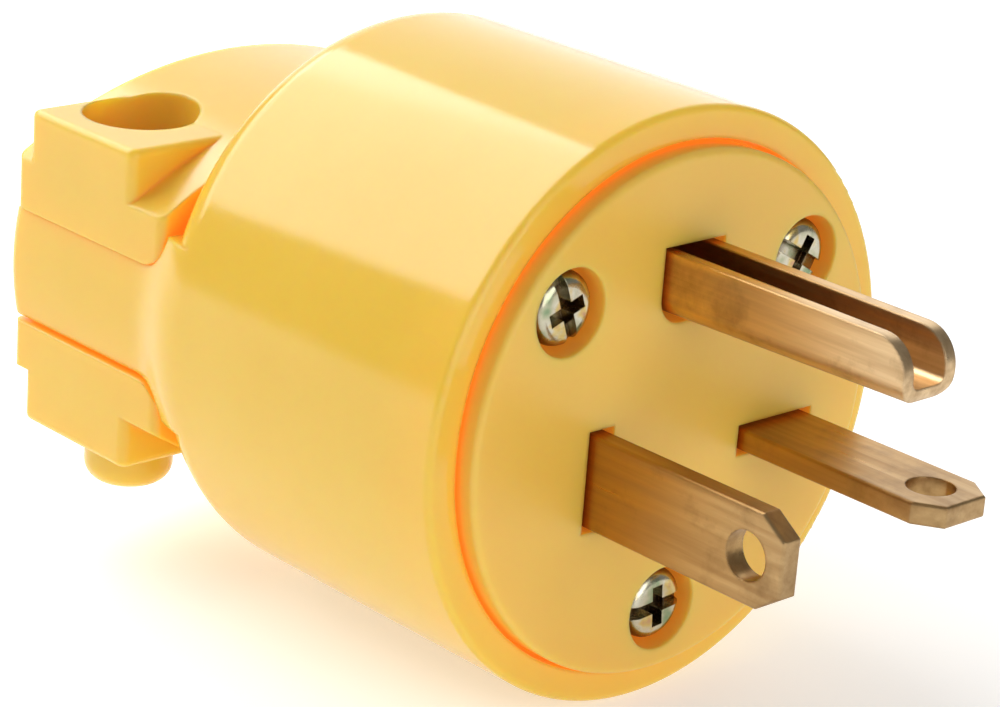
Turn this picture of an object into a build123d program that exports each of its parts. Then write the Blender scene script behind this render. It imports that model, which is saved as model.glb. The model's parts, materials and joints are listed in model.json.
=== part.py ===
from build123d import *
import os

# Rewireable straight-blade attachment plug: one-piece barrel shell, blade face held by three
# captive screws, screw terminals inside, and a two-screw cord clamp on the neck.
# X is right seen from the blade side, Y runs from the face to the cord, Z is up.
# The origin is the centre of the blade face. All sizes are in millimetres.

# Shell
barrel_r = 20.4
rim_y = 1.4
groove_r = 18.2
groove_floor_y = 2.5
mouth_r = 17.95
seat_y = 5.05
cavity_r = 17.4
rear_corner_r = 3.2
rear_y = 30.4
neck_r = 8.6
neck_end_y = 48.0
cord_bore_r = 6.6
inner_shoulder_y = 25.4
inner_shoulder_len = 2.8
boss_r = 3.6
boss_top_y = 8.05
boss_end_y = 28.6

# Wings: the flat sides of the neck, between the two clamp pieces
wing_half_w = 19.1
wing_half_h = 4.0
wing_start_y = 25.2
wing_flush_y = 34.0
wing_end_y = 48.6
wing_flare_r = 2.6

# Face plate and terminal carrier
face_r = 17.9
face_back_y = 5.0
carrier_r = 17.0
carrier_front_y = 5.1
carrier_back_y = 8.0
barrier_end_y = 21.5
slot_clearance = 0.35

# Blades and ground pin
blade_w = 6.35
blade_t = 1.52
blade_line_z = -2.97
vertical_blade_x = -7.05
horizontal_blade_x = 9.35
blade_len = 16.7
blade_hole_r = 1.65
blade_hole_y = -13.7
tip_cut_len = 1.9
tip_cut_w = 1.3
blade_edge_r = 0.2
pin_w = 4.75
pin_h = 4.6
pin_wall = 0.9
pin_bend_r = 1.5
pin_taper = 0.55
pin_z = 9.25
pin_len = 19.85
ear_w = 10.4
ear_len = 1.4
tab_w = 8.6
tab_end_y = 19.0
tab_t = 1.2

# Face screws
face_screws = {"left": (-10.7, 9.0), "right": (10.7, 9.0), "bottom": (0.0, -13.6)}
face_head_r = 2.5
face_head_top_y = 0.35
face_head_h = 2.3
counterbore_r = 2.95
counterbore_floor_y = 2.75
screw_neck_r = 1.3
thread_start_y = 8.3
face_thread_r = 1.72
face_screw_end_y = 16.0
insert_r = 2.6
insert_end_y = 16.1

# Terminal screws and pressure plates
terminal_y = 13.6
terminal_thread_r = 2.0
terminal_head_r = 3.1
terminal_head_h = 2.4
plate_t = 1.2
plate_gap = 0.25
plate_side = 7.6

# Cord clamp
clamp_x = 12.9
clamp_y = 41.6
clamp_half_w = 19.0
plate_inner_z = 4.05
lower_gap = 0.3
block_outer_z = 11.5
plate_front_y = 30.8
plate_back_y = 47.6
block_front_y = 34.3
block_back_y = 46.2
arch_r = 35.0
arch_top_z = 13.3
saddle_r = 8.95
clamp_bore_r = 4.1
clamp_bore_floor_z = 6.2
clamp_hole_r = 2.35
nub_r = 3.2
nub_end_z = -15.8
clamp_insert_r = 2.9
clamp_insert_top_z = -4.8
clamp_insert_bottom_z = -11.0
clamp_head_r = 3.6
clamp_head_h = 2.4
clamp_thread_r = 2.0
clamp_screw_end_z = -13.8

# Driver recess shared by all the screws: a full slot and a cross
slot_w = 0.9
slot_depth = 0.9
cross_len = 2.9
cross_depth = 1.3


def box(x0, x1, y0, y1, z0, z1):
    centre = ((x0 + x1) / 2, (y0 + y1) / 2, (z0 + z1) / 2)
    return Pos(*centre) * Box(x1 - x0, y1 - y0, z1 - z0)


def rod_y(radius, y0, y1, x=0.0, z=0.0):
    return Pos(x, (y0 + y1) / 2, z) * Rot(90, 0, 0) * Cylinder(radius, y1 - y0)


def rod_z(radius, z0, z1, x=0.0, y=0.0):
    return Pos(x, y, (z0 + z1) / 2) * Cylinder(radius, z1 - z0)


def turned(lines):
    """Solid of revolution about Y from a closed outline drawn in XY."""
    return revolve(make_face(Curve() + lines), axis=Axis.Y)


def shell_outline(grow=0.0):
    """Outside of the barrel and neck, grown outwards by a clearance."""
    big_r = barrel_r + grow
    small_r = neck_r + grow
    front = rim_y - grow
    back = rear_y + grow
    corner = (barrel_r - rear_corner_r, rear_y - rear_corner_r)
    return turned([
        Line((0, front), (big_r, front)),
        Line((big_r, front), (big_r, corner[1])),
        CenterArc(corner, rear_corner_r + grow, 0, 90),
        Line((corner[0], back), (small_r, back)),
        Line((small_r, back), (small_r, neck_end_y + grow)),
        Line((small_r, neck_end_y + grow), (0, neck_end_y + grow)),
        Line((0, neck_end_y + grow), (0, front)),
    ])


def wing_slab(half_w, grow=0.0):
    """Flat wings on both sides of the neck, flaring where they leave the barrel."""
    side_z = wing_half_h + grow
    root_z = wing_half_h + wing_flare_r
    flare_y = rear_y + wing_flare_r
    back = wing_end_y + grow
    radius = wing_flare_r - grow
    outline = Curve() + [
        Line((wing_start_y, -root_z), (wing_start_y, root_z)),
        Line((wing_start_y, root_z), (rear_y + grow, root_z)),
        CenterArc((flare_y, root_z), radius, 180, 90),
        Line((flare_y, side_z), (back, side_z)),
        Line((back, side_z), (back, -side_z)),
        Line((back, -side_z), (flare_y, -side_z)),
        CenterArc((flare_y, -root_z), radius, 90, 90),
        Line((rear_y + grow, -root_z), (wing_start_y, -root_z)),
    ]
    return extrude(Plane.YZ * make_face(outline), half_w, both=True)


def wings():
    """Wings whose sides run smoothly out of the barrel."""
    sides = turned([
        Line((0, wing_start_y), (barrel_r, wing_start_y)),
        Line((barrel_r, wing_start_y), (barrel_r, wing_start_y + 2)),
        Spline((barrel_r, wing_start_y + 2), (wing_half_w, wing_flush_y), tangents=[(0, 1), (0, 1)]),
        Line((wing_half_w, wing_flush_y), (wing_half_w, wing_end_y)),
        Line((wing_half_w, wing_end_y), (0, wing_end_y)),
        Line((0, wing_end_y), (0, wing_start_y)),
    ])
    body = wing_slab(barrel_r + 1) & sides
    back = body.faces().sort_by(Axis.Y)[-1]
    return fillet(back.edges(), 1.3)


def cavity():
    """Space inside the shell: the mouth, the wiring chamber and the cord bore."""
    chamber = turned([
        Line((0, seat_y), (cavity_r, seat_y)),
        Line((cavity_r, seat_y), (cavity_r, inner_shoulder_y)),
        EllipticalCenterArc((cord_bore_r, inner_shoulder_y), cavity_r - cord_bore_r,
                            inner_shoulder_len, 0, arc_size=90),
        Line((cord_bore_r, inner_shoulder_y + inner_shoulder_len), (cord_bore_r, neck_end_y + 1)),
        Line((cord_bore_r, neck_end_y + 1), (0, neck_end_y + 1)),
        Line((0, neck_end_y + 1), (0, seat_y)),
    ])
    mouth = rod_y(mouth_r, rim_y - 1, seat_y)
    groove = rod_y(groove_r, rim_y - 1, groove_floor_y)
    return chamber + mouth + groove


def make_shell():
    body = shell_outline()
    rim = body.edges().filter_by(GeomType.CIRCLE).sort_by(Axis.Y)[0]
    body = fillet(rim, 0.45)
    body = body + wings() - cavity()
    bosses = [rod_y(boss_r, boss_top_y, boss_end_y, x, z) for x, z in face_screws.values()]
    body = body + bosses
    for x, z in face_screws.values():
        body = body - rod_y(insert_r, boss_top_y, insert_end_y, x, z)
        body = body - rod_y(face_thread_r + 0.3, insert_end_y, insert_end_y + 3, x, z)
    for side in (-1, 1):
        body = body - rod_z(clamp_hole_r, -wing_half_h - 1, wing_half_h + 1, side * clamp_x, clamp_y)
    return body


def recess(depth_scale=1.0):
    """Slot and cross cut into a screw head whose top is at Z = 0."""
    slot = Box(slot_w, 12, 2 * slot_depth * depth_scale)
    cross = Box(slot_w, cross_len, 2 * cross_depth * depth_scale)
    cross += Box(cross_len, slot_w, 2 * cross_depth * depth_scale)
    return slot + cross


def screw(head_r, head_h, length, thread_r, neck_r=None, neck_len=0.0):
    """Pan-head screw: head top at Z = 0, shank towards -Z."""
    head = Pos(0, 0, -head_h / 2) * Cylinder(head_r, head_h)
    head = fillet(head.edges().sort_by(Axis.Z)[-1], head_h * 0.42)
    tip_z = -head_h - length
    if neck_len:
        head += Pos(0, 0, -head_h - neck_len / 2) * Cylinder(neck_r, neck_len)
    shank_top = -head_h - neck_len
    shank = Pos(0, 0, (shank_top + tip_z) / 2) * Cylinder(thread_r, shank_top - tip_z)
    shank = chamfer(shank.edges().sort_by(Axis.Z)[0], 0.35)
    return head + shank - recess()


def make_face_plate():
    plate = rod_y(face_r, 0, face_back_y)
    front_edge = plate.edges().filter_by(GeomType.CIRCLE).sort_by(Axis.Y)[0]
    plate = fillet(front_edge, 0.4)
    half_w = blade_w / 2 + slot_clearance
    half_t = blade_t / 2 + slot_clearance
    x, z = vertical_blade_x, blade_line_z
    plate -= box(x - half_t, x + half_t, -1, face_back_y + 1, z - half_w, z + half_w)
    x = horizontal_blade_x
    plate -= box(x - half_w, x + half_w, -1, face_back_y + 1, z - half_t, z + half_t)
    plate -= pin_clearance(slot_clearance, -1, face_back_y + 1)
    for x, z in face_screws.values():
        plate -= rod_y(counterbore_r, -1, counterbore_floor_y, x, z)
        plate -= rod_y(screw_neck_r + 0.55, -1, face_back_y + 1, x, z)
    return plate


def u_section(width, bottom_z, top_z, bend_r, y):
    """Flat face across Y, square at the top and with its two bottom corners rounded."""
    height = top_z - bottom_z
    outline = Rectangle(width, height)
    outline = fillet(outline.vertices().sort_by(Axis.Y)[:2], bend_r)
    return Plane((0, y, (bottom_z + top_z) / 2), x_dir=(1, 0, 0), z_dir=(0, -1, 0)) * outline


def pin_clearance(grow, y0, y1):
    """Solid outline of the ground pin's root, grown by a clearance."""
    bottom_z = pin_z - pin_h / 2 - grow
    top_z = pin_z + pin_h / 2 + grow
    face = u_section(pin_w + 2 * grow, bottom_z, top_z, pin_bend_r + grow, y1)
    return extrude(face, y1 - y0)


def pin_taper_solid(inset, top_z):
    """Outline of the ground pin from root to tip, inset by the sheet's thickness."""
    bottom_z = pin_z - pin_h / 2 + inset
    width = pin_w - 2 * inset
    bend_r = pin_bend_r - inset
    root = u_section(width, bottom_z, top_z, bend_r, carrier_back_y)
    tip = u_section(width, bottom_z + pin_taper, top_z, bend_r, -pin_len)
    return loft([root, tip], ruled=True)


def make_ground_pin():
    channel_end_y = carrier_back_y
    top_z = pin_z + pin_h / 2
    channel = pin_taper_solid(0, top_z) - pin_taper_solid(pin_wall, top_z + 1)
    bottom_z = pin_z - pin_h / 2
    side = box(-5, 5, -pin_len, channel_end_y, bottom_z, top_z)
    tip = side.edges().filter_by(Axis.X).group_by(Axis.Y)[0]
    side = fillet(tip.sort_by(Axis.Z)[-1], 2.4)
    tip = side.edges().filter_by(Axis.X).group_by(Axis.Y)[0]
    side = fillet(tip.sort_by(Axis.Z)[0], 1.5)
    channel = channel & side
    ears = box(-ear_w / 2, ear_w / 2, carrier_front_y + 0.05, carrier_front_y + ear_len, bottom_z, bottom_z + tab_t)
    tab = box(-tab_w / 2, tab_w / 2, carrier_front_y + 0.05, tab_end_y, bottom_z, bottom_z + tab_t)
    tab = fillet(tab.edges().filter_by(Axis.Z).group_by(Axis.Y)[-1], 1.2)
    hole = rod_z(terminal_thread_r + 0.06, bottom_z - 1, bottom_z + tab_t + 1, 0, terminal_y)
    return channel + ears + tab - hole


def flat_blade():
    """Blade lying in XY with its centre line on Y, and its terminal tab behind the ears."""
    half_t = blade_t / 2
    half_w = blade_w / 2
    root_y = carrier_front_y + 1
    outline = Polyline(
        (-half_w, root_y), (-half_w, tip_cut_len - blade_len), (tip_cut_w - half_w, -blade_len),
        (half_w - tip_cut_w, -blade_len), (half_w, tip_cut_len - blade_len), (half_w, root_y), close=True)
    strip = extrude(make_face(outline), half_t, both=True)
    rims = [e for e in strip.edges() if abs(e.center().Z) > half_t - 0.01 and e.center().Y < root_y - 0.01]
    strip = fillet(rims, blade_edge_r)
    ears = box(-ear_w / 2, ear_w / 2, carrier_front_y + 0.05, carrier_front_y + ear_len, -half_t, half_t)
    tab = box(-tab_w / 2, tab_w / 2, carrier_front_y + 0.05, tab_end_y, -half_t, half_t)
    tab = fillet(tab.edges().filter_by(Axis.Z).group_by(Axis.Y)[-1], 1.2)
    blade = strip + ears + tab
    blade -= rod_z(blade_hole_r, -3, 3, 0, blade_hole_y)
    blade -= rod_z(terminal_thread_r + 0.06, -3, 3, 0, terminal_y)
    return blade


def place_horizontal(shape):
    return Pos(horizontal_blade_x, 0, blade_line_z) * shape


def place_vertical(shape):
    return Pos(vertical_blade_x, 0, blade_line_z) * Rot(0, 90, 0) * shape


def place_ground(shape):
    return Pos(0, 0, pin_z - pin_h / 2 + tab_t / 2) * Rot(0, 180, 0) * shape


def pressure_plate(tab_half_t):
    """Square clamping plate below a tab that lies in XY; its edges turn towards the tab."""
    top_z = -tab_half_t - plate_gap
    half = plate_side / 2
    plate = box(-half, half, terminal_y - half, terminal_y + half, top_z - plate_t, top_z)
    plate = fillet(plate.edges().filter_by(Axis.Z), 0.8)
    for side in (-1, 1):
        plate -= rod_y(0.9, terminal_y - half - 1, terminal_y + half + 1, side * 3.0, top_z + 0.25)
    return plate - rod_z(terminal_thread_r + 0.1, top_z - plate_t - 1, top_z + 1, 0, terminal_y)


def terminal_screw(tab_half_t):
    """Screw below a tab that lies in XY, threaded through the tab from the outside."""
    head_top_z = -tab_half_t - plate_gap - plate_t - 0.05 - terminal_head_h
    body = screw(terminal_head_r, terminal_head_h, 4.4, terminal_thread_r)
    return Pos(0, terminal_y, head_top_z) * Rot(180, 0, 25) * body


def make_carrier():
    flange = rod_y(carrier_r, carrier_front_y, carrier_back_y)
    half_t = blade_t / 2
    support_gap = 0.15
    # one supporting wall behind each terminal tab, all joined to a central hub
    left = vertical_blade_x + half_t + support_gap
    above = blade_line_z + half_t + support_gap
    below = pin_z - pin_h / 2 - support_gap
    y0, y1 = carrier_back_y - 0.5, barrier_end_y
    walls = box(left, left + 2.6, y0, y1, -8.6, above + 2.6)
    walls += box(left, 14.6, y0, y1, above, above + 2.6)
    walls += box(-4.9, 4.9, y0, y1, below - 2.4, below)
    walls += box(left, 3.1, y0, y1, above, below)
    body = flange + walls
    slot = box(-tab_w / 2 - 0.15, tab_w / 2 + 0.15, 0, y1, -half_t - 0.1, half_t + 0.1)
    pocket_y = carrier_front_y + ear_len + 0.15
    slot += box(-ear_w / 2 - 0.15, ear_w / 2 + 0.15, 0, pocket_y, -half_t - 0.1, half_t + 0.1)
    body -= place_horizontal(slot)
    body -= place_vertical(slot)
    tab_z = pin_z - pin_h / 2 + tab_t / 2
    pin_slot = box(-tab_w / 2 - 0.15, tab_w / 2 + 0.15, 0, y1, tab_z - 0.7, tab_z + 0.7)
    pin_slot += box(-ear_w / 2 - 0.15, ear_w / 2 + 0.15, 0, pocket_y, tab_z - 0.7, tab_z + 0.7)
    body -= pin_slot
    body -= pin_clearance(0.2, 0, carrier_back_y + 0.2)
    relief = rod_z(terminal_thread_r + 0.3, -half_t, half_t + 3.2, 0, terminal_y)
    body -= place_horizontal(relief)
    body -= place_vertical(relief)
    body -= place_ground(relief)
    for x, z in face_screws.values():
        body -= rod_y(screw_neck_r + 0.12, 0, barrier_end_y, x, z)
    return body


def slab(y0, y1, z0, z1, corner_r):
    """Full-width slab of the clamp with its upright corners rounded."""
    body = box(-clamp_half_w, clamp_half_w, y0, y1, z0, z1)
    return fillet(body.edges().filter_by(Axis.Z), corner_r)


def clamp_jaw(inner_z):
    """Half of the cord clamp above the neck: an arched strap with a flat screw block on each side."""
    arch = rod_y(arch_r, plate_front_y - 1, plate_back_y + 1, 0, arch_top_z - arch_r)
    plate = slab(plate_front_y, plate_back_y, inner_z, arch_top_z + 1, 0.7) & arch
    block = slab(block_front_y, block_back_y, inner_z, block_outer_z, 0.7)
    block = fillet(block.faces().sort_by(Axis.Z)[-1].edges(), 0.5)
    jaw = plate + block
    jaw -= rod_y(saddle_r, 0, 60)
    return jaw - shell_outline(0.35) - wing_slab(clamp_half_w + 2, inner_z - wing_half_h)


def make_upper_clamp():
    jaw = clamp_jaw(plate_inner_z)
    for side in (-1, 1):
        x = side * clamp_x
        jaw -= rod_z(clamp_bore_r, clamp_bore_floor_z, 20, x, clamp_y)
        jaw -= rod_z(clamp_hole_r, 0, 20, x, clamp_y)
    return jaw


def make_lower_clamp():
    jaw = clamp_jaw(wing_half_h + lower_gap)
    jaw = mirror(jaw, about=Plane.XY)
    for side in (-1, 1):
        x = side * clamp_x
        nub = rod_z(nub_r, nub_end_z, -block_outer_z + 1, x, clamp_y)
        jaw += fillet(nub.edges().sort_by(Axis.Z)[0], 1.5)
        jaw -= rod_z(clamp_hole_r, nub_end_z + 1.2, 0, x, clamp_y)
        jaw -= rod_z(clamp_insert_r, clamp_insert_bottom_z, 0, x, clamp_y)
    return jaw


def make_face_screw(x, z):
    length = face_screw_end_y - face_head_top_y - face_head_h
    neck_len = thread_start_y - face_head_top_y - face_head_h
    body = screw(face_head_r, face_head_h, length, face_thread_r, screw_neck_r, neck_len)
    turn = 20 + 40 * (x > 0) + 75 * (z < 0)
    return Pos(x, face_head_top_y, z) * Rot(90, 0, 0) * Rot(0, 0, turn) * body


parts = {
    "body_shell": make_shell(),
    "face_plate": make_face_plate(),
    "terminal_carrier": make_carrier(),
    "blade_vertical": place_vertical(flat_blade()),
    "blade_horizontal": place_horizontal(flat_blade()),
    "ground_pin": make_ground_pin(),
    "upper_cord_clamp": make_upper_clamp(),
    "lower_cord_clamp": make_lower_clamp(),
}

for name, (x, z) in face_screws.items():
    parts["face_screw_" + name] = make_face_screw(x, z)
    sleeve = rod_y(insert_r, boss_top_y + 0.05, insert_end_y, x, z)
    parts["shell_insert_" + name] = sleeve - rod_y(face_thread_r + 0.06, 0, 30, x, z)

terminals = {
    "vertical": (place_vertical, blade_t / 2),
    "horizontal": (place_horizontal, blade_t / 2),
    "ground": (place_ground, tab_t / 2),
}
for name, (place, half_t) in terminals.items():
    parts["wire_plate_" + name] = place(pressure_plate(half_t))
    parts["terminal_screw_" + name] = place(terminal_screw(half_t))

for name, side in (("left", -1), ("right", 1)):
    x = side * clamp_x
    head_top = clamp_bore_floor_z + 0.05 + clamp_head_h
    length = head_top - clamp_head_h - clamp_screw_end_z
    body = screw(clamp_head_r, clamp_head_h, length, clamp_thread_r)
    parts["clamp_screw_" + name] = Pos(x, clamp_y, head_top) * Rot(0, 0, 30 * side) * body
    sleeve = rod_z(clamp_insert_r, clamp_insert_bottom_z, clamp_insert_top_z, x, clamp_y)
    parts["clamp_insert_" + name] = sleeve - rod_z(clamp_thread_r + 0.06, -20, 0, x, clamp_y)

os.makedirs("parts", exist_ok=True)
for name, shape in parts.items():
    export_step(shape, "parts/" + name + ".step")
    size = shape.bounding_box()
    print(name, len(shape.solids()), round(shape.volume, 1), size.min, size.max)
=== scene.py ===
import json
import math
import bpy
from mathutils import Matrix, Vector


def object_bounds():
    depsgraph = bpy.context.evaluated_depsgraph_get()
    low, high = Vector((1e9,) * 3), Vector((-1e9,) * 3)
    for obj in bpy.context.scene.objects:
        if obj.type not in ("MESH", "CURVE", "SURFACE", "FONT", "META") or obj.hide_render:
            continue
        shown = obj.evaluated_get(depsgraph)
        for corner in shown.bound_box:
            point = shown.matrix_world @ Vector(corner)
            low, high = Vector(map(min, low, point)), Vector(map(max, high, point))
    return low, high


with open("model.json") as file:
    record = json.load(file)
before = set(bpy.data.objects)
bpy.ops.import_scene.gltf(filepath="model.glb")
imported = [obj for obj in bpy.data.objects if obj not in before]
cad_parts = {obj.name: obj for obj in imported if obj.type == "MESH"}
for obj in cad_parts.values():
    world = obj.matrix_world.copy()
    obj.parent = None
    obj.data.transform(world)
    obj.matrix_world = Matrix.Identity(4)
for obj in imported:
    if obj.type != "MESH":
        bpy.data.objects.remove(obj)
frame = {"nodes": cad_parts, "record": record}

# Looks, lights and camera of the straight-blade plug. All of its shapes come from the frame.
# Lengths are in metres. Y runs from the blades back to the cord, and Z is up.

cad_low, cad_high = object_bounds()
scene = bpy.context.scene


# ---------------------------------------------------------------- node helpers

NOISE_MIDDLE = (0.3, 0.7)
TRACE_SAMPLES = 4
MIX_FACTOR, MIX_A, MIX_B, MIX_RESULT = 0, 6, 7, 2


class Nodes:
    """A new material, with short calls that add nodes to it."""

    def __init__(self, name):
        self.material = bpy.data.materials.new(name)
        self.material.use_nodes = True
        self.tree = self.material.node_tree
        self.shader = self.tree.nodes["Principled BSDF"]
        self.place = self.add("ShaderNodeTexCoord").outputs["Object"]

    def add(self, kind, inputs=None, **settings):
        """Add a node with these settings, and feed its inputs."""
        node = self.tree.nodes.new(kind)
        for key, value in settings.items():
            setattr(node, key, value)
        for key, value in (inputs or {}).items():
            self.feed(node.inputs[key], value)
        return node

    def feed(self, socket, value):
        """Link a node's output to the socket, or set the socket to a constant."""
        if isinstance(value, bpy.types.NodeSocket):
            self.tree.links.new(value, socket)
        else:
            socket.default_value = value

    def set(self, **values):
        """Feed the shader's inputs, named with _ in place of each space."""
        for key, value in values.items():
            self.feed(self.shader.inputs[key.replace("_", " ")], value)

    def stretched(self, scale):
        """The position on the piece, scaled along each axis."""
        mapping = self.add("ShaderNodeMapping", {"Vector": self.place, "Scale": scale})
        return mapping.outputs["Vector"]

    def axis(self, name):
        """One coordinate of the position on the piece."""
        node = self.add("ShaderNodeSeparateXYZ", {"Vector": self.place})
        return node.outputs[name]

    def radius(self):
        """Distance from the plug's long axis."""
        flat = self.stretched((1.0, 0.0, 1.0))
        return self.add("ShaderNodeVectorMath", {0: flat}, operation="LENGTH").outputs["Value"]

    def crevice(self, reach):
        """1 in the open, falling towards 0 in gaps and recesses up to `reach` wide."""
        node = self.add("ShaderNodeAmbientOcclusion", {"Distance": reach}, samples=TRACE_SAMPLES)
        return node.outputs["AO"]

    def noise(self, scale, detail=3.0, rough=0.55, where=None):
        """Noise from 0 to 1, mostly near 0.5, with about `scale` spots to the metre."""
        node = self.add("ShaderNodeTexNoise", {
            "Vector": where or self.place, "Scale": scale, "Detail": detail, "Roughness": rough})
        return node.outputs["Fac"]

    def between(self, value, low, high, out_low, out_high):
        """Carry the value from low..high to out_low..out_high, held at both ends."""
        node = self.add("ShaderNodeMapRange", {
            "Value": value, "From Min": low, "From Max": high,
            "To Min": out_low, "To Max": out_high}, clamp=True)
        return node.outputs["Result"]

    def spread(self, noise, out_low, out_high):
        """Carry the middle of the noise's range to out_low..out_high."""
        return self.between(noise, *NOISE_MIDDLE, out_low, out_high)

    def math(self, operation, a, b):
        """Combine two values."""
        return self.add("ShaderNodeMath", {0: a, 1: b}, operation=operation).outputs[0]

    def mix(self, factor, a, b):
        """Colour a where the factor is 0, turning into colour b where it is 1."""
        node = self.add("ShaderNodeMix", data_type="RGBA")
        self.feed(node.inputs[MIX_FACTOR], factor)
        self.feed(node.inputs[MIX_A], a)
        self.feed(node.inputs[MIX_B], b)
        return node.outputs[MIX_RESULT]

    def ramp(self, factor, stops):
        """Colours that follow the factor through (position, colour) stops."""
        node = self.add("ShaderNodeValToRGB", {"Fac": factor})
        marks = node.color_ramp.elements
        while len(marks) < len(stops):
            marks.new(0.5)
        for mark, (position, colour) in zip(marks, stops):
            mark.position = position
            mark.color = colour
        return node.outputs["Color"]

    def bump(self, height, distance, edge):
        """Surface relief, over edges that look rounded to the radius `edge`."""
        rounded = self.add("ShaderNodeBevel", {"Radius": edge}, samples=TRACE_SAMPLES)
        node = self.add("ShaderNodeBump", {
            "Height": height, "Distance": distance, "Normal": rounded.outputs["Normal"]})
        self.set(Normal=node.outputs["Normal"])


def rgb(r, g, b):
    """Linear colour from 0-255 sRGB values."""
    def linear(v):
        v = v / 255
        return v / 12.92 if v <= 0.04045 else ((v + 0.055) / 1.055) ** 2.4
    return (linear(r), linear(g), linear(b), 1.0)


# ------------------------------------------------------------------- materials

YELLOW = rgb(241, 200, 77)
DEEP_YELLOW = rgb(237, 193, 67)

# Painted light: in gaps up to GAP_REACH wide the yellow is painted a deeper orange and made to
# emit, standing in for the shade and the light passing through the plastic there. Near the floor,
# this painted glow is kept only in the ring groove, between two radii. Each height or radius is a
# pair, and the painted glow fades across it.
GAP_REACH = 0.0026
FLOOR_GAP_TOP = (-0.018, -0.0165)
GROOVE_INNER = (0.0172, 0.0177)
GROOVE_OUTER = (0.0184, 0.0187)
PAINTED_GLOW_STRENGTH = 0.24

BLADE_TIP_Y = -0.018
DRAWN_GRAIN = (9.0, 0.35, 9.0)

PASSIVATE_FILM = [
    (0.30, rgb(134, 154, 118)), (0.42, rgb(190, 186, 158)), (0.52, rgb(206, 200, 180)),
    (0.62, rgb(208, 182, 112)), (0.72, rgb(194, 146, 122))]


def painted_gap_glow(m):
    """Mask of the painted shade and glow: 1 in the gaps between the yellow pieces, but 0 in the one
    between barrel and floor.
    """
    gap = m.between(m.crevice(GAP_REACH), 0.1, 0.75, 1.0, 0.0)
    above_floor = m.between(m.axis("Z"), *FLOOR_GAP_TOP, 0.0, 1.0)
    from_axis = m.radius()
    past_inner = m.between(from_axis, *GROOVE_INNER, 0.0, 1.0)
    short_of_outer = m.between(from_axis, *GROOVE_OUTER, 1.0, 0.0)
    groove = m.math("MULTIPLY", past_inner, short_of_outer)
    return m.math("MULTIPLY", gap, m.math("MAXIMUM", above_floor, groove))


def plastic(name, base, deep, rough, ripple):
    """Moulded yellow plastic: slight mottle, faint orange peel, and painted orange shade and glow
    in its gaps.
    """
    m = Nodes(name)
    mottle = m.noise(90.0, 4.0)
    colour = m.mix(m.between(mottle, 0.35, 0.65, 0.0, 0.5), base, deep)
    # Painted light: in the gaps the base colour is painted orange and the surface emits, standing
    # in for shade and light through the plastic.
    painted_glow = painted_gap_glow(m)
    m.set(Base_Color=m.mix(painted_glow, colour, rgb(255, 174, 46)), IOR=1.5)
    m.set(Subsurface_Weight=0.6, Subsurface_Radius=(1.0, 0.5, 0.1), Subsurface_Scale=0.003)
    painted_glow_strength = m.math("MULTIPLY", painted_glow, PAINTED_GLOW_STRENGTH)
    m.set(Emission_Color=rgb(255, 160, 48), Emission_Strength=painted_glow_strength)
    m.set(Roughness=m.spread(m.noise(900.0), rough - 0.03, rough + 0.05))
    peel = m.noise(420.0, 2.0)
    waves = m.noise(70.0, 1.0)
    m.bump(m.math("ADD", peel, m.math("MULTIPLY", waves, 9.0)), ripple, edge=0.0004)
    return m.material


def brass(name, lift):
    """Stamped brass, drawn along the blade: warmer at the root, greyer and paler at the tip."""
    m = Nodes(name)
    grain = m.noise(160.0, 4.0, where=m.stretched(DRAWN_GRAIN))
    along = m.between(m.axis("Y"), BLADE_TIP_Y, 0.0, 0.0, 1.0)
    tip = rgb(186 + lift, 156 + lift, 112 + lift)
    root = rgb(190 + lift, 142 + lift, 66 + lift)
    clean = m.mix(along, tip, root)
    worn = m.mix(m.between(grain, 0.35, 0.7, 0.0, 0.45), clean, rgb(140, 100, 58))
    stain = m.noise(210.0, 6.0, 0.65)
    stained = m.mix(m.between(stain, 0.50, 0.72, 0.0, 0.55), worn, rgb(112, 82, 50))
    # Painted shade: dark brown in the slots and recesses, where shade falls.
    outside_painted_shade = m.between(m.crevice(0.0014), 0.05, 0.6, 0.0, 1.0)
    m.set(Base_Color=m.mix(outside_painted_shade, rgb(84, 58, 30), stained))
    m.set(Metallic=1.0, Roughness=m.spread(grain, 0.26, 0.44))
    m.bump(grain, 0.00002, edge=0.00022)
    return m.material


def zinc(name):
    """Zinc plate with a passivate film of green, straw and pink patches, and painted shade in the
    recesses.
    """
    m = Nodes(name)
    film = m.ramp(m.noise(560.0, 2.0), PASSIVATE_FILM)
    # Painted shade: dark brown in the screw recesses, where shade falls.
    outside_painted_shade = m.between(m.crevice(0.0009), 0.45, 0.9, 0.0, 1.0)
    m.set(Base_Color=m.mix(outside_painted_shade, rgb(100, 76, 48), film), Metallic=1.0)
    fine = m.noise(1800.0)
    m.set(Roughness=m.spread(fine, 0.14, 0.30))
    m.bump(fine, 0.00001, edge=0.00008)
    return m.material


def small_metal(name, base, metallic=1.0, rough=0.25):
    """Turned or lacquered small metal parts."""
    m = Nodes(name)
    fine = m.noise(1500.0)
    m.set(Base_Color=m.mix(m.spread(fine, 0.0, 0.2), base, rgb(90, 62, 30)))
    m.set(Metallic=metallic, Roughness=m.spread(fine, rough, rough + 0.12))
    m.bump(fine, 0.000008, edge=0.00008)
    return m.material


def phenolic(name):
    """Dull black phenolic moulding."""
    m = Nodes(name)
    fine = m.noise(1200.0)
    m.set(Base_Color=m.mix(m.spread(fine, 0.0, 1.0), rgb(26, 25, 25), rgb(44, 42, 40)))
    m.set(Roughness=m.spread(fine, 0.5, 0.65))
    m.bump(fine, 0.00002, edge=0.0002)
    return m.material


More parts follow.
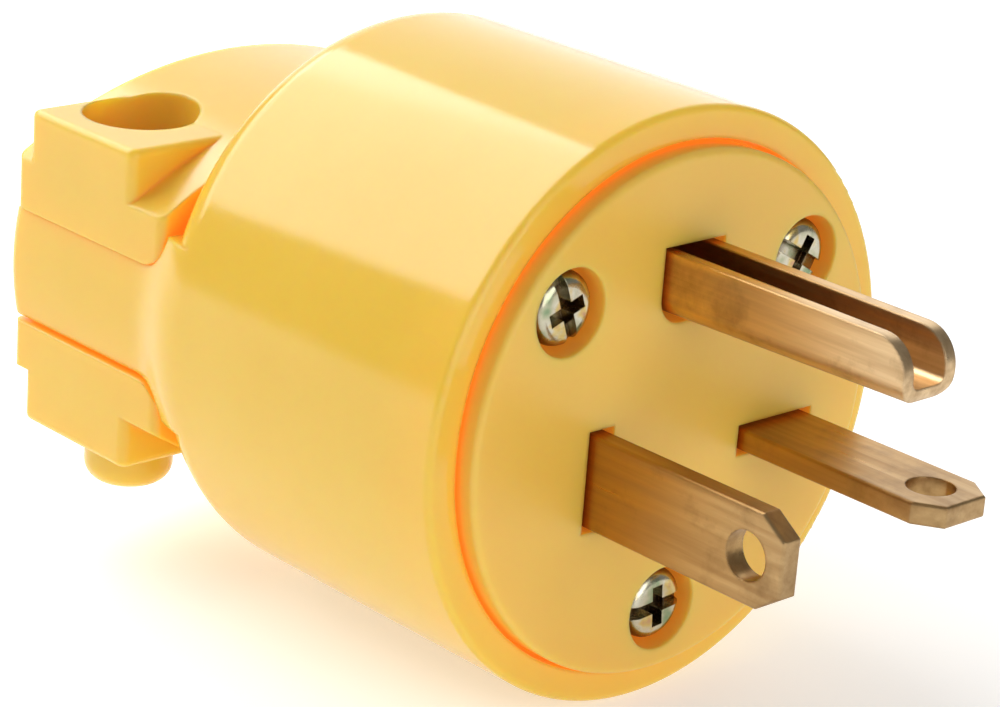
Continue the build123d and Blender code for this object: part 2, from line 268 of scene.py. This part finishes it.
looks = {
    "shell_yellow": plastic("shell_vinyl", YELLOW, DEEP_YELLOW, rough=0.11, ripple=0.000006),
    "clamp_yellow": plastic("clamp_nylon", YELLOW, DEEP_YELLOW, rough=0.2, ripple=0.000008),
    "face_yellow": plastic(
        "face_nylon", rgb(240, 196, 86), rgb(236, 189, 78), rough=0.36, ripple=0.00001),
    "carrier_black": phenolic("carrier_phenolic"),
    "blade_brass": brass("blade_stamping", lift=0),
    "pin_brass": brass("pin_stamping", lift=38),
    "insert_brass": small_metal("insert_turning", rgb(216, 176, 104)),
    "line_screw_brass": small_metal("line_screw_head", rgb(222, 184, 110)),
    "ground_screw_green": small_metal("ground_screw_lacquer", rgb(28, 120, 60), 0.55, 0.22),
    "zinc_steel": zinc("zinc_plate"),
}

for row in frame["record"]["subparts"]:
    part = frame["nodes"][row["node"]]
    part.data.materials.clear()
    part.data.materials.append(looks[row["material_slot"]])


# --------------------------------------------------------- floor, light, camera

WHITE = (1.0, 1.0, 1.0, 1.0)
PAPER = (0.80, 0.80, 0.80, 1.0)
PAPER_GLOW = 0.40
FLOOR_HALF = 3.0
SKY_STRENGTH = 0.24
LIGHT_TARGET = Vector((0.0, 0.012, 0.0))
FOCAL_MM = 117.09
CAMERA_PLACE = Vector((-0.145298, -0.13395, 0.073943))


def add_object(name, data):
    thing = bpy.data.objects.new(name, data)
    scene.collection.objects.link(thing)
    return thing


def softbox(name, place, across, width, height, radiance):
    """Rectangular lamp that faces the plug, with its width along the direction `across`."""
    light = bpy.data.lights.new(name, "AREA")
    light.shape = "RECTANGLE"
    light.size = width
    light.size_y = height
    light.energy = radiance * math.pi * width * height
    away = (Vector(place) - LIGHT_TARGET).normalized()
    side = Vector(across)
    side = (side - side.dot(away) * away).normalized()
    turn = Matrix((side, away.cross(side), away)).transposed()
    add_object(name, light).matrix_world = Matrix.LocRotScale(Vector(place), turn, None)


# pale paper, which the barrel lies on
floor_z = cad_low[2]
corners = [(-FLOOR_HALF, -FLOOR_HALF, floor_z), (FLOOR_HALF, -FLOOR_HALF, floor_z),
           (FLOOR_HALF, FLOOR_HALF, floor_z), (-FLOOR_HALF, FLOOR_HALF, floor_z)]
floor_mesh = bpy.data.meshes.new("floor")
floor_mesh.from_pydata(corners, [], [(0, 1, 2, 3)])
floor = add_object("floor", floor_mesh)
floor_look = Nodes("floor_paper")
floor_look.set(Base_Color=PAPER, Roughness=0.9)
floor_look.set(Emission_Color=WHITE, Emission_Strength=PAPER_GLOW)
floor_mesh.materials.append(floor_look.material)

world = bpy.data.worlds.new("studio")
world.use_nodes = True
background = world.node_tree.nodes["Background"]
background.inputs["Color"].default_value = WHITE
background.inputs["Strength"].default_value = SKY_STRENGTH
scene.world = world

softbox("key_behind_above", (-0.108, 0.355, 0.333), across=(0.951, 0.0, 0.309),
        width=0.50, height=0.42, radiance=3.8)
softbox("panel_behind_right", (0.42, 0.46, 0.28), across=(0.7, -0.7, 0.0),
        width=0.75, height=0.62, radiance=1.15)
softbox("fill_front", (-0.10, -0.60, 0.22), across=(1.0, 0.0, 0.0),
        width=0.50, height=0.40, radiance=2.4)

scene.view_settings.view_transform = "Standard"

lens = bpy.data.cameras.new("camera")
lens.sensor_width = 36.0
lens.lens = FOCAL_MM
lens.clip_start = 0.01
lens.clip_end = 20.0
camera = add_object("camera", lens)
right = Vector((0.73663, -0.67246, 0.0719))
up = Vector((0.17778, 0.29511, 0.93878))
back = Vector((-0.65251, -0.67875, 0.33694))
camera_turn = Matrix((right, up, back)).transposed().to_4x4()
camera.matrix_world = Matrix.Translation(CAMERA_PLACE) @ camera_turn
scene.camera = camera
